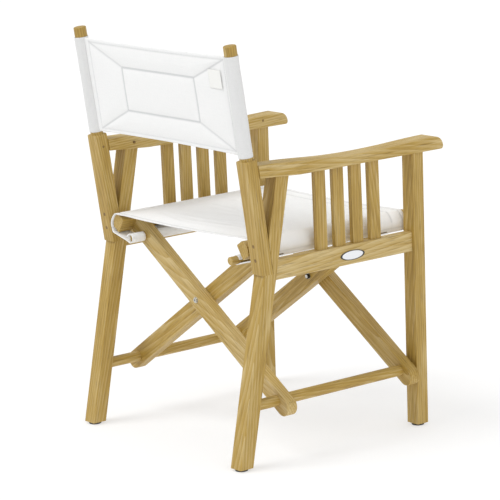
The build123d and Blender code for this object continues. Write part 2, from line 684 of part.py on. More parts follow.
def make_xframe():
    """Legs, rails, rods and pivots between the two side frames."""
    outer_rear, inner_rear, inner_front, outer_front = xleg_faces()
    make_xleg(-1, outer_rear, 0.0, "outer_rear_xleg")
    make_xleg(-1, outer_front, 0.0, "outer_front_xleg")
    make_xleg(1, inner_rear, RUNNING_GAP, "inner_rear_xleg")
    make_xleg(1, inner_front, RUNNING_GAP, "inner_front_xleg")
    make_seat_rail(-1, (outer_rear, outer_front), "left_seat_rail")
    make_seat_rail(1, (inner_rear, inner_front), "right_seat_rail")
    make_sling_rod(-1, LEFT_ROD_SHIFT, "left_sling_rod")
    make_sling_rod(1, 0, "right_sling_rod")
    make_pivot_bolts("pivot_bolts")
    make_pivot_washers("pivot_washers")
    make_pivot_nuts("pivot_nuts")
    make_seat_sling((outer_rear, outer_front), (inner_rear, inner_front), "seat_sling")


for each_name, each_side in SIDES.items():
    make_side_frame(each_name, each_side)
make_xframe()
make_back_sling("back_sling")
make_back_label("back_label")
make_badge_plate("badge_plate")
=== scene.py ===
"""Looks of a folding director chair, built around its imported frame.

The oiled timber, the steel, the glides and the badge keep their CAD meshes and get a finish. The canvas
seat, the quilted back, its sleeves and its label are built here and stand for their plain CAD solids.
"""

import json
import logging
import math
from dataclasses import dataclass, field, replace
from enum import Enum

import bmesh
import bpy
import numpy as np
from mathutils import Euler, Matrix, Vector


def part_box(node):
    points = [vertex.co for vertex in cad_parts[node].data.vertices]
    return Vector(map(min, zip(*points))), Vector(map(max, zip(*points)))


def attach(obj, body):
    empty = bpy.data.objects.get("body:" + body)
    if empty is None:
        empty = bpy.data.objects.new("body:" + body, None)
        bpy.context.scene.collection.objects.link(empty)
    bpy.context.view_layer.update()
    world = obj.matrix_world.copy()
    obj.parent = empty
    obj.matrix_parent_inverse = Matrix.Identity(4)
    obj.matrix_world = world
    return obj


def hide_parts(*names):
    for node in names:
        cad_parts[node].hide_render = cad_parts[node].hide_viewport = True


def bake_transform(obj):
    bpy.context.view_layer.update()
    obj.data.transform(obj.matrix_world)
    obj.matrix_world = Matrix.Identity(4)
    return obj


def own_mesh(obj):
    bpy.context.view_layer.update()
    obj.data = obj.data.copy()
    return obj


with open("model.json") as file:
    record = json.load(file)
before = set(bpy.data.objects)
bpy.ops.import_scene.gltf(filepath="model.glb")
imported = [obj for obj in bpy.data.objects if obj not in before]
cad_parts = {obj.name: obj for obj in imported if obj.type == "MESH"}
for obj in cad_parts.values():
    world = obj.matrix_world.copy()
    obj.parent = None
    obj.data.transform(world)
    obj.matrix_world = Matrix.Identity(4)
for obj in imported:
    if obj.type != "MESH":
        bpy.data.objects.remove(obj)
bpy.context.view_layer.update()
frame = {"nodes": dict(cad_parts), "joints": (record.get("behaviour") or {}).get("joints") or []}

LOG = logging.getLogger("chair")
MM = 0.001
UP = Vector((0, 0, 1))
WAVE_PERIOD = 0.314  # metres from one band of a wave texture at scale 1 to the next
NOISE_GRAIN = 0.5  # metres across a blotch of a noise texture at scale 1

Value = float | int | tuple | str | bpy.types.NodeSocket


def linear(colour: str) -> tuple[float, float, float, float]:
    """Turn an sRGB hex colour into linear RGBA.

    Args:
        colour: six hex digits.

    Returns:
        Linear red, green, blue and an alpha of 1.
    """
    parts = [int(colour[i:i + 2], 16) / 255 for i in (0, 2, 4)]
    low = [c / 12.92 if c <= 0.04045 else ((c + 0.055) / 1.055) ** 2.4 for c in parts]
    return low[0], low[1], low[2], 1.0


def add_node(tree: bpy.types.NodeTree, kind: str, sockets: dict[str | int, Value] | None = None,
             **settings: object) -> bpy.types.Node:
    """Add a node, with its settings, its socket values and its links.

    Args:
        tree: the tree that gets the node.
        kind: the node's type.
        sockets: for each input socket, a value or the output socket that feeds it.
        settings: the node's own properties.

    Returns:
        The new node.
    """
    node = tree.nodes.new(kind)
    for name, value in settings.items():
        setattr(node, name, value)
    for key, value in (sockets or {}).items():
        if isinstance(value, bpy.types.NodeSocket):
            tree.links.new(value, node.inputs[key])
        else:
            node.inputs[key].default_value = value
    return node


def new_material(name: str) -> tuple[bpy.types.Material, bpy.types.NodeTree]:
    """Make an empty node material.

    Args:
        name: the material's name.

    Returns:
        The material and its tree.
    """
    material = bpy.data.materials.new(name)
    material.use_nodes = True
    material.node_tree.nodes.clear()
    return material, material.node_tree


def surfaced(material: bpy.types.Material, sockets: dict[str | int, Value]) -> bpy.types.Material:
    """Give a material its Principled shader.

    Args:
        material: the material.
        sockets: the shader's values and links.

    Returns:
        The same material.
    """
    shader = add_node(material.node_tree, "ShaderNodeBsdfPrincipled", sockets)
    add_node(material.node_tree, "ShaderNodeOutputMaterial", {"Surface": shader.outputs[0]})
    return material


def add_object(name: str, data: bpy.types.ID) -> bpy.types.Object:
    """Make an object and put it in the scene.

    Args:
        name: the object's name.
        data: its mesh, camera or light.

    Returns:
        The new object.
    """
    made = bpy.data.objects.new(name, data)
    bpy.context.scene.collection.objects.link(made)
    return made


class Grain(Enum):
    """Which way the grain runs in a piece of timber, as the turn that lays it along local Z."""

    UPRIGHT = (0.0, 0.0, 0.0)
    LENGTHWISE = (math.radians(90), 0.0, 0.0)
    REAR_LEG = (math.radians(-11.9), 0.0, 0.0)
    BACK_POST = (math.radians(7), 0.0, 0.0)
    RISES_LEFT = (0.0, math.radians(-56.85), 0.0)
    RISES_RIGHT = (0.0, math.radians(56.85), 0.0)


@dataclass(frozen=True)
class OiledTeak:
    """Sanded and oiled teak: golden brown with darker growth rings, short dark pores and a satin surface."""

    grain: Grain
    middle: Vector  # middle of the piece, in metres
    board: int  # number of the board, which sets where in the log it was sawn
    shade: float = 0.0  # from -1, pale, to 1, dark
    pale: str = "CDB680"
    mid: str = "B19143"
    dark: str = "8C6C2B"
    pore: str = "5F4821"
    ring_mm: float = 5.5
    streak_mm: float = 1.8
    pore_mm: float = 0.9
    band_share: float = 0.20
    streak_share: float = 0.55
    cloud_share: float = 0.42
    tone_offset: float = -0.08  # puts a board of middling shade on the middle of the colour ramp
    shade_reach: float = 0.14

    def material(self, name: str) -> bpy.types.Material:
        """Build the finish.

        Args:
            name: the material's name.

        Returns:
            The material.
        """
        material, tree = new_material(name)
        saw = np.random.RandomState(self.board)
        turn = Euler(self.grain.value)
        centre = -(turn.to_matrix() @ self.middle)
        place = add_node(tree, "ShaderNodeTexCoord")
        along = add_node(tree, "ShaderNodeMapping", {
            "Vector": place.outputs["Object"], "Rotation": tuple(turn), "Location": tuple(centre)})
        # Growth rings round a heart a few centimetres off, leaning a little, so that broad faces show arches.
        heart = add_node(tree, "ShaderNodeMapping", {
            "Vector": along.outputs[0],
            "Location": (saw.uniform(0.02, 0.05) * saw.choice((-1, 1)), saw.uniform(0.02, 0.06), 0.0),
            "Rotation": (*(math.radians(saw.uniform(1.5, 4.5) * saw.choice((-1, 1))) for _ in "xy"), 0.0)})
        log = add_node(tree, "ShaderNodeMapping", {"Vector": heart.outputs[0], "Scale": (1.0, 1.0, 0.25)})
        rings = add_node(tree, "ShaderNodeTexWave", {
            "Vector": log.outputs[0], "Scale": WAVE_PERIOD / (self.ring_mm * MM), "Distortion": 2.6,
            "Detail": 2.0, "Detail Scale": 0.12, "Detail Roughness": 0.55, "Phase Offset": saw.uniform(0, 6)},
            wave_type="RINGS", rings_direction="Z", wave_profile="SAW")
        drift = tuple(saw.uniform(0, 5, 3))
        fibres = add_node(tree, "ShaderNodeMapping", {
            "Vector": along.outputs[0], "Scale": (1.0, 1.0, 0.04), "Location": drift})
        streaks = add_node(tree, "ShaderNodeTexNoise", {
            "Vector": fibres.outputs[0], "Scale": NOISE_GRAIN / (self.streak_mm * MM), "Detail": 4.0,
            "Roughness": 0.6, "Distortion": 0.25})
        clouds = add_node(tree, "ShaderNodeMapping", {
            "Vector": along.outputs[0], "Scale": (1.0, 1.0, 0.22), "Location": drift})
        cloudy = add_node(tree, "ShaderNodeTexNoise", {
            "Vector": clouds.outputs[0], "Scale": 34.0, "Detail": 2.0, "Roughness": 0.5})
        banded = add_node(tree, "ShaderNodeMath", {
            0: rings.outputs["Fac"], 1: self.band_share}, operation="MULTIPLY")
        mixed = add_node(tree, "ShaderNodeMath", {
            0: streaks.outputs["Fac"], 1: self.streak_share, 2: banded.outputs[0]}, operation="MULTIPLY_ADD")
        toned = add_node(tree, "ShaderNodeMath", {
            0: cloudy.outputs["Fac"], 1: self.cloud_share, 2: mixed.outputs[0]}, operation="MULTIPLY_ADD")
        shaded = add_node(tree, "ShaderNodeMath", {
            0: toned.outputs[0], 1: self.tone_offset + self.shade_reach * self.shade}, operation="ADD")
        ramp = add_node(tree, "ShaderNodeValToRGB", {"Fac": shaded.outputs[0]})
        stops = ramp.color_ramp.elements
        stops[0].position, stops[0].color = 0.26, linear(self.pale)
        stops[1].position, stops[1].color = 0.84, linear(self.dark)
        middle = stops.new(0.53)
        middle.color = linear(self.mid)
        # Pores: fine dark dashes a couple of centimetres long, drawn about twice as coarse as the real ones.
        dashes = add_node(tree, "ShaderNodeMapping", {
            "Vector": along.outputs[0], "Scale": (1.0, 1.0, 0.03), "Location": drift[::-1]})
        pores = add_node(tree, "ShaderNodeTexNoise", {
            "Vector": dashes.outputs[0], "Scale": NOISE_GRAIN / (self.pore_mm * MM), "Detail": 2.0,
            "Roughness": 0.7})
        deep = add_node(tree, "ShaderNodeMapRange", {
            "Value": pores.outputs["Fac"], "From Min": 0.57, "From Max": 0.74, "To Min": 0.0, "To Max": 0.7})
        colour = add_node(tree, "ShaderNodeMix", {
            0: deep.outputs[0], 6: ramp.outputs[0], 7: linear(self.pore)}, data_type="RGBA")
        rough = add_node(tree, "ShaderNodeMapRange", {
            "Value": streaks.outputs["Fac"], "To Min": 0.40, "To Max": 0.56})
        height = add_node(tree, "ShaderNodeMath", {
            0: streaks.outputs["Fac"], 1: deep.outputs[0]}, operation="SUBTRACT")
        bump = add_node(tree, "ShaderNodeBump", {
            "Height": height.outputs[0], "Strength": 0.35, "Distance": 0.25 * MM})
        return surfaced(material, {
            "Base Color": colour.outputs[2], "Roughness": rough.outputs[0], "Normal": bump.outputs[0],
            "IOR": 1.5})


@dataclass(frozen=True)
class AcrylicCanvas:
    """Plain-woven acrylic canvas, off-white: matt, a fine even weave, greyed by painted shade in the creases
    along its seams.
    """

    colour: str = "F8F8F7"
    hollow: str = "EAEBEB"
    # painted shade: the grey laid into the creases along the seams
    seam_shade_colour: str = "B4B6B9"
    thread_mm: float = 1.7  # the real threads are about half as wide, too fine to show

    def material(self, name: str) -> bpy.types.Material:
        """Build the finish, whose weave follows the piece's own flat pattern.

        Args:
            name: the material's name.

        Returns:
            The material.
        """
        material, tree = new_material(name)
        flat = add_node(tree, "ShaderNodeUVMap", uv_map=Cloth.FLAT)
        threads = []
        for turn, stretch in ((0.0, (1.0, 0.12, 1.0)), (math.radians(90), (0.12, 1.0, 1.0))):
            along = add_node(tree, "ShaderNodeMapping", {
                "Vector": flat.outputs[0], "Rotation": (0.0, 0.0, turn)})
            wave = add_node(tree, "ShaderNodeTexWave", {
                "Vector": along.outputs[0], "Scale": WAVE_PERIOD / (self.thread_mm * MM), "Distortion": 0.8,
                "Detail": 1.0, "Detail Scale": 0.4}, wave_type="BANDS", bands_direction="X")
            slub = add_node(tree, "ShaderNodeMapping", {"Vector": flat.outputs[0], "Scale": stretch})
            uneven = add_node(tree, "ShaderNodeTexNoise", {
                "Vector": slub.outputs[0], "Scale": NOISE_GRAIN / (self.thread_mm * MM), "Detail": 2.0,
                "Roughness": 0.6})
            threads.append(add_node(tree, "ShaderNodeMath", {
                0: uneven.outputs["Fac"], 1: 0.5, 2: wave.outputs["Fac"]}, operation="MULTIPLY_ADD"))
        weave = add_node(tree, "ShaderNodeMath", {
            0: threads[0].outputs[0], 1: threads[1].outputs[0]}, operation="MULTIPLY")
        ramp = add_node(tree, "ShaderNodeValToRGB", {"Fac": weave.outputs[0]})
        stops = ramp.color_ramp.elements
        stops[0].position, stops[0].color = 0.05, linear(self.hollow)
        stops[1].position, stops[1].color = 0.75, linear(self.colour)
        # Painted shade along the seams: the stored seam share mixes the weave towards the grey.
        seam = add_node(tree, "ShaderNodeAttribute", attribute_name=Cloth.SEAM_SHADE)
        colour = add_node(tree, "ShaderNodeMix", {
            0: seam.outputs["Fac"], 6: ramp.outputs[0], 7: linear(self.seam_shade_colour)}, data_type="RGBA")
        bump = add_node(tree, "ShaderNodeBump", {
            "Height": weave.outputs[0], "Strength": 0.35, "Distance": 0.3 * MM})
        return surfaced(material, {
            "Base Color": colour.outputs[2], "Normal": bump.outputs[0], "Roughness": 0.88,
            "Specular IOR Level": 0.25, "Sheen Weight": 0.12, "Sheen Roughness": 0.5})


@dataclass(frozen=True)
class SewingThread:
    """Bonded polyester thread: smooth, a little brighter than the cloth it sits in."""

    colour: str = "E6E6E4"
    # painted shade in the grooves of the twist
    groove_shade: str = "CFCFCD"
    twist_mm: float = 0.8

    def material(self, name: str) -> bpy.types.Material:
        """Build the finish; its twist is drawn as fine diagonal bands of painted shade.

        Args:
            name: the material's name.

        Returns:
            The material.
        """
        material, tree = new_material(name)
        place = add_node(tree, "ShaderNodeTexCoord")
        twist = add_node(tree, "ShaderNodeTexWave", {
            "Vector": place.outputs["Object"], "Scale": WAVE_PERIOD / (self.twist_mm * MM)},
            bands_direction="DIAGONAL")
        ramp = add_node(tree, "ShaderNodeValToRGB", {"Fac": twist.outputs["Fac"]})
        ramp.color_ramp.elements[0].color = linear(self.groove_shade)
        ramp.color_ramp.elements[1].color = linear(self.colour)
        return surfaced(material, {
            "Base Color": ramp.outputs[0], "Roughness": 0.55})


@dataclass(frozen=True)
class SatinLabel:
    """Woven satin ribbon, blank: smoother and whiter than canvas, with fine ribs across it drawn as bands of
    painted shade.
    """

    colour: str = "F7F7F4"
    # painted shade between the ribs
    groove_shade: str = "ECECE8"
    rib_mm: float = 1.2

    def material(self, name: str) -> bpy.types.Material:
        """Build the finish.

        Args:
            name: the material's name.

        Returns:
            The material.
        """
        material, tree = new_material(name)
        flat = add_node(tree, "ShaderNodeUVMap", uv_map=Cloth.FLAT)
        ribs = add_node(tree, "ShaderNodeTexWave", {
            "Vector": flat.outputs[0], "Scale": WAVE_PERIOD / (self.rib_mm * MM)}, bands_direction="Y")
        ramp = add_node(tree, "ShaderNodeValToRGB", {"Fac": ribs.outputs["Fac"]})
        ramp.color_ramp.elements[0].color = linear(self.groove_shade)
        ramp.color_ramp.elements[1].color = linear(self.colour)
        return surfaced(material, {
            "Base Color": ramp.outputs[0], "Roughness": 0.5})


@dataclass(frozen=True)
class StainlessSteel:
    """Turned and polished stainless steel: bright, with faint turning marks."""

    colour: str = "B9B8B4"
    hollow: str = "8F8E8A"
    mark_mm: float = 1.5

    def material(self, name: str) -> bpy.types.Material:
        """Build the finish.

        Args:
            name: the material's name.

        Returns:
            The material.
        """
        material, tree = new_material(name)
        place = add_node(tree, "ShaderNodeTexCoord")
        marks = add_node(tree, "ShaderNodeTexNoise", {
            "Vector": place.outputs["Object"], "Scale": 1 / (self.mark_mm * MM), "Detail": 3.0})
        rough = add_node(tree, "ShaderNodeMapRange", {
            "Value": marks.outputs["Fac"], "To Min": 0.22, "To Max": 0.42})
        ramp = add_node(tree, "ShaderNodeValToRGB", {"Fac": marks.outputs["Fac"]})
        ramp.color_ramp.elements[0].color = linear(self.hollow)
        ramp.color_ramp.elements[1].color = linear(self.colour)
        return surfaced(material, {
            "Base Color": ramp.outputs[0], "Roughness": rough.outputs[0], "Metallic": 1.0})


@dataclass(frozen=True)
class MouldedNylon:
    """Moulded black nylon: dark grey, slightly waxy, with a fine spark-eroded grain."""

    colour: str = "2A2A2B"
    pit: str = "1E1E1F"
    grit_mm: float = 0.9

    def material(self, name: str) -> bpy.types.Material:
        """Build the finish.

        Args:
            name: the material's name.

        Returns:
            The material.
        """
        material, tree = new_material(name)
        place = add_node(tree, "ShaderNodeTexCoord")
        grit = add_node(tree, "ShaderNodeTexNoise", {
            "Vector": place.outputs["Object"], "Scale": 1 / (self.grit_mm * MM), "Detail": 2.0})
        ramp = add_node(tree, "ShaderNodeValToRGB", {"Fac": grit.outputs["Fac"]})
        ramp.color_ramp.elements[0].color = linear(self.pit)
        ramp.color_ramp.elements[1].color = linear(self.colour)
        bump = add_node(tree, "ShaderNodeBump", {
            "Height": grit.outputs["Fac"], "Strength": 0.4, "Distance": 0.1 * MM})
        return surfaced(material, {
            "Base Color": ramp.outputs[0], "Normal": bump.outputs[0], "Roughness": 0.5, "IOR": 1.53})


@dataclass(frozen=True)
class EnamelledPlate:
    """Stamped plate with a white enamel field inside a dark raised rim."""

    middle: Vector
    half_length: float
    half_height: float
    rim: float = 0.87  # share of the half sizes where the rim starts
    blur: float = 0.02
    enamel: str = "EDEFF2"
    rim_colour: str = "24211D"

    def material(self, name: str) -> bpy.types.Material:
        """Build the finish; the rim is told from the field by how far out a point lies.

        Args:
            name: the material's name.

        Returns:
            The material.
        """
        material, tree = new_material(name)
        place = add_node(tree, "ShaderNodeTexCoord")
        centred = add_node(tree, "ShaderNodeVectorMath", {
            0: place.outputs["Object"], 1: tuple(self.middle)}, operation="SUBTRACT")
        shaped = add_node(tree, "ShaderNodeVectorMath", {
            0: centred.outputs[0], 1: (0.0, 1 / self.half_length, 1 / self.half_height)},
            operation="MULTIPLY")
        out = add_node(tree, "ShaderNodeVectorMath", {0: shaped.outputs[0]}, operation="LENGTH")
        edge = add_node(tree, "ShaderNodeMapRange", {
            "Value": out.outputs["Value"], "From Min": self.rim - self.blur,
            "From Max": self.rim + self.blur})
        colour = add_node(tree, "ShaderNodeMix", {
            0: edge.outputs[0], 6: linear(self.enamel), 7: linear(self.rim_colour)}, data_type="RGBA")
        return surfaced(material, {
            "Base Color": colour.outputs[2], "Roughness": 0.28, "Coat Weight": 0.4, "Coat Roughness": 0.1})


class Cloth:
    """Shared tools for cloth pieces: meshes from grids of points, with a flat pattern for the weave."""

    FLAT = "flat_pattern"
    # name of the point attribute that holds the painted seam shade
    SEAM_SHADE = "painted_seam_shade"

    @staticmethod
    def quads(rows: int, columns: int) -> tuple[np.ndarray, np.ndarray]:
        """Number the points and faces of a grid.

        Args:
            rows: rows of points.
            columns: columns of points.

        Returns:
            The number of each point, and the four points of each face.
        """
        index = np.arange(rows * columns).reshape(rows, columns)
        return index, np.stack([index[:-1, :-1], index[:-1, 1:], index[1:, 1:], index[1:, :-1]], -1)

    @staticmethod
    def grid(name: str, points: np.ndarray, flat: np.ndarray, keep: np.ndarray | None = None,
             seam_shade: np.ndarray | None = None) -> bpy.types.Object:
        """Make a sheet from a grid of points.

        Args:
            name: the object's name.
            points: rows x columns x 3 positions in metres.
            flat: rows x columns x 2 places on the flat cloth in metres.
            keep: which of the (rows - 1) x (columns - 1) faces are made; all when it is left out.
            seam_shade: rows x columns shares of painted seam shade.

        Returns:
            The new object.
        """
        quads = Cloth.quads(*points.shape[:2])[1]
        if keep is not None:
            quads = quads[keep]
        quads = quads.reshape(-1, 4)
        used, quads = np.unique(quads, return_inverse=True)
        quads = quads.reshape(-1, 4)
        made = Cloth.mesh(name, points.reshape(-1, 3)[used], quads, flat.reshape(-1, 2)[used])
        return made if seam_shade is None else Cloth.seam_shade(made, seam_shade.ravel()[used])

    @staticmethod
    def mesh(name: str, points: np.ndarray, faces: np.ndarray, flat: np.ndarray) -> bpy.types.Object:
        """Make an object from points and faces.

        Args:
            name: the object's name.
            points: positions in metres.
            faces: point numbers of each face.
            flat: place of each point on the flat cloth in metres.

        Returns:
            The new object, smooth shaded.
        """
        data = bpy.data.meshes.new(name)
        data.from_pydata(points.tolist(), [], faces.tolist())
        layer = data.uv_layers.new(name=Cloth.FLAT)
        corner = np.zeros(len(data.loops), np.int32)
        data.loops.foreach_get("vertex_index", corner)
        layer.data.foreach_set("uv", flat[corner].astype(np.float32).ravel())
        data.polygons.foreach_set("use_smooth", np.ones(len(data.polygons), bool))
        data.update()
        return add_object(name, data)

    @staticmethod
    def seam_shade(obj: bpy.types.Object, amount: np.ndarray) -> bpy.types.Object:
        """Store how much painted seam shade greys each point of a piece, from 0 to 1.

        Args:
            obj: the piece.
            amount: one value for each point.

        Returns:
            The same object.
        """
        layer = obj.data.attributes.new(Cloth.SEAM_SHADE, "FLOAT", "POINT")
        layer.data.foreach_set("value", amount.astype(np.float32).ravel())
        return obj

    @staticmethod
    def settle(obj: bpy.types.Object) -> bpy.types.Object:
        """Turn an object and its modifiers into one plain mesh.

        Args:
            obj: the object.

        Returns:
            The same object, without modifiers.
        """
        graph = bpy.context.evaluated_depsgraph_get()
        final = bpy.data.meshes.new_from_object(obj.evaluated_get(graph))
        obj.modifiers.clear()
        obj.data = final
        return obj

    @staticmethod
    def thicken(obj: bpy.types.Object, thickness: float) -> bpy.types.Object:
        """Give a sheet its thickness, half to each side.

        Args:
            obj: the sheet.
            thickness: in metres.

        Returns:
            The same object.
        """
        solid = obj.modifiers.new("thickness", "SOLIDIFY")
        solid.thickness = thickness
        solid.offset = 0.0
        solid.use_even_offset = True
        return Cloth.settle(obj)


@dataclass
class Stitching:
    """Lockstitch along sewn lines: one small thread loop after another."""

    material: bpy.types.Material
    spacing: float = 4.5 * MM
    length: float = 3.2 * MM
    radius: float = 0.45 * MM

    def tree(self) -> bpy.types.NodeTree:
        """Build the geometry nodes that lay one stitch at each step along a line.

        Returns:
            The node tree, with inputs for the spacing, the stitch length and the thread's radius.
        """
        tree = bpy.data.node_groups.new("lockstitch", "GeometryNodeTree")
        tree.interface.new_socket("Geometry", in_out="INPUT", socket_type="NodeSocketGeometry")
        for name in ("Spacing", "Stitch Length", "Thread Radius"):
            tree.interface.new_socket(name, in_out="INPUT", socket_type="NodeSocketFloat")
        tree.interface.new_socket("Geometry", in_out="OUTPUT", socket_type="NodeSocketGeometry")
        given = add_node(tree, "NodeGroupInput")
        line = add_node(tree, "GeometryNodeMeshToCurve", {"Mesh": given.outputs["Geometry"]})
        steps = add_node(tree, "GeometryNodeResampleCurve", {
            "Curve": line.outputs[0], "Length": given.outputs["Spacing"]}, mode="LENGTH")
        bead = add_node(tree, "GeometryNodeMeshUVSphere", {"Segments": 6, "Rings": 4, "Radius": 0.5})
        across = add_node(tree, "ShaderNodeMath", {
            0: given.outputs["Thread Radius"], 1: 2.0}, operation="MULTIPLY")
        size = add_node(tree, "ShaderNodeCombineXYZ", {
            "X": across.outputs[0], "Y": across.outputs[0], "Z": given.outputs["Stitch Length"]})
        stitch = add_node(tree, "GeometryNodeTransform", {
            "Geometry": bead.outputs[0], "Scale": size.outputs[0]})
        tangent = add_node(tree, "GeometryNodeInputTangent")
        turn = add_node(tree, "FunctionNodeAlignRotationToVector", {"Vector": tangent.outputs[0]}, axis="Z")
        laid = add_node(tree, "GeometryNodeInstanceOnPoints", {
            "Points": steps.outputs[0], "Instance": stitch.outputs[0], "Rotation": turn.outputs[0]})
        real = add_node(tree, "GeometryNodeRealizeInstances", {"Geometry": laid.outputs[0]})
        finish = add_node(tree, "GeometryNodeSetMaterial", {
            "Geometry": real.outputs[0], "Material": self.material})
        add_node(tree, "NodeGroupOutput", {"Geometry": finish.outputs[0]})
        return tree

    def sew(self, name: str, lines: list[np.ndarray]) -> bpy.types.Object:
        """Sew along lines.

        Args:
            name: the object's name.
            lines: for each line, its points in metres.

        Returns:
            The stitches as one plain mesh.
        """
        points, edges = [], []
        for line in lines:
            first = len(points)
            points += line.tolist()
            edges += [(first + i, first + i + 1) for i in range(len(line) - 1)]
        data = bpy.data.meshes.new(name)
        data.from_pydata(points, edges, [])
        made = add_object(name, data)
        nodes = made.modifiers.new("lockstitch", "NODES")
        nodes.node_group = bpy.data.node_groups.get("lockstitch") or self.tree()
        sizes = {"Spacing": self.spacing, "Stitch Length": self.length, "Thread Radius": self.radius}
        for socket in nodes.node_group.interface.items_tree:
            if socket.in_out == "INPUT" and socket.name in sizes:
                nodes[socket.identifier] = sizes[socket.name]
        Cloth.settle(made)
        made.data.polygons.foreach_set("use_smooth", np.ones(len(made.data.polygons), bool))
        return made


@dataclass
class BackSling:
    """Quilted canvas back between the posts, with a sleeve over each post and a blank sewn label."""

    canvas: bpy.types.Material
    # a greyer copy of the canvas: partly the single layer over the timber, partly painted shade
    shaded_sleeve_canvas: bpy.types.Material
    label_cloth: bpy.types.Material
    stitching: Stitching
    rake: float = math.radians(7)
    post_x: float = 271 * MM
    height: float = 213 * MM
    half_width: float = 256.5 * MM  # the panel ends just inside each sleeve's wall
    seam_x: float = 243 * MM
    hem: float = 8 * MM
    field_x: float = 130 * MM
    field_low: float = 59 * MM
    field_high: float = 157 * MM
    step: float = 2.2 * MM
    core: float = 0.8 * MM
    puff: float = 3.4 * MM
    swell: float = 11 * MM  # how far from a seam the padding fills out
    hem_puff: float = 0.45  # share of the puff in hems and sleeve seams
    hem_swell: float = 4 * MM
    edge_round: float = 2.2 * MM
    edge_share: float = 0.25  # share of the thickness left at the free edges
    draw_in: float = 3 * MM  # how far the free edges draw in between the posts
    ripple: float = 0.5 * MM
    # painted shade along the seams: how strong it is at each kind of seam and how wide it spreads
    seam_shade_shares: tuple[float, float, float] = (0.75, 0.5, 0.25)  # field, diagonals, hems and sleeve seams
    seam_shade_width: float = 2 * MM
    sleeve_r: float = 15.6 * MM
    sleeve_inner: float = 14.35 * MM
    sleeve_overhang: float = 1.5 * MM  # past the panel at each end
    sleeve_hem: float = 10 * MM
    label_size: tuple[float, float] = (42 * MM, 40 * MM)
    keep_folded: float = 0.515
    origin: Vector = field(init=False)

    def __post_init__(self) -> None:
        """Find the middle of the panel's bottom edge from the CAD sling."""
        low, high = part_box("back_sling")
        middle = (low + high) / 2
        self.origin = Vector((0.0, middle.y, middle.z)) - self.rise * (self.height / 2)

    @property
    def rise(self) -> Vector:
        """Direction up along the posts."""
        return Vector((0.0, math.sin(self.rake), math.cos(self.rake)))

    @property
    def out(self) -> Vector:
        """Direction square to the panel, to the rear."""
        return Vector((0.0, math.cos(self.rake), -math.sin(self.rake)))

    def place(self, u: np.ndarray, v: np.ndarray, w: np.ndarray) -> np.ndarray:
        """Turn panel places into points.

        Args:
            u: across the chair.
            v: up along the posts from the bottom edge.
            w: out to the rear.

        Returns:
            The points, in metres.
        """
        across = np.array((1.0, 0.0, 0.0))
        return (np.array(self.origin) + u[..., None] * across + v[..., None] * np.array(self.rise)
                + w[..., None] * np.array(self.out))

    def seams(self) -> list[tuple[tuple[float, float], tuple[float, float]]]:
        """List every sewn line on the panel.

        Returns:
            Both ends of each: the field's four, its four diagonals, then the hems and sleeve seams.
        """
        x, low, high = self.field_x, self.field_low, self.field_high
        edge, top = self.seam_x, self.height - self.hem
        field_corners = [(-x, low), (x, low), (x, high), (-x, high)]
        outer_corners = [(-edge, self.hem), (edge, self.hem), (edge, top), (-edge, top)]
        lines = list(zip(field_corners, field_corners[1:] + field_corners[:1]))
        lines += list(zip(field_corners, outer_corners))
        lines += list(zip(outer_corners, outer_corners[1:] + outer_corners[:1]))
        return lines

    def half_thickness(self, u: np.ndarray, v: np.ndarray) -> np.ndarray:
        """Half the panel's thickness: full between the seams, pinched along them and at the edges.

        Args:
            u: across the chair.
            v: up along the posts.

        Returns:
            The half thickness in metres.
        """
        near = self.seam_distance(u, v)
        inside = (np.abs(u) < self.seam_x) & (v > self.hem) & (v < self.height - self.hem)
        full = np.where(inside, self.puff, self.hem_puff * self.puff)
        width = np.where(inside, self.swell, self.hem_swell)
        return self.core + full * (1 - np.exp(-near / width)) ** 1.2

    def seam_distance(self, u: np.ndarray, v: np.ndarray, lines: list | None = None) -> np.ndarray:
        """Distance from places on the panel to the nearest seam.

        Args:
            u: across the chair.
            v: up along the posts.
            lines: the seams; all of them when it is left out.

        Returns:
            The distances in metres.
        """
        near = np.full(u.shape, 1.0)
        for (ax, ay), (bx, by) in lines or self.seams():
            dx, dy = bx - ax, by - ay
            t = np.clip(((u - ax) * dx + (v - ay) * dy) / (dx * dx + dy * dy), 0, 1)
            near = np.minimum(near, np.hypot(u - ax - t * dx, v - ay - t * dy))
        return near

    def drape(self, u: np.ndarray, v: np.ndarray) -> tuple[np.ndarray, np.ndarray]:
        """Where the middle of the panel's thickness lies once it is stretched between the posts.

        Args:
            u: across the chair.
            v: up along the posts, on the flat panel.

        Returns:
            How far up each place ends, and how far it ripples to the rear.
        """
        taut = 1 - (u / self.half_width) ** 2
        lift = 1 - 2 * v / self.height
        pulled = v + self.draw_in * taut * lift * np.abs(lift)
        wave = self.ripple * np.sin(u / 0.043 + 3 * v / self.height) * np.sin(v / 0.031 + u / 0.09)
        return pulled, wave

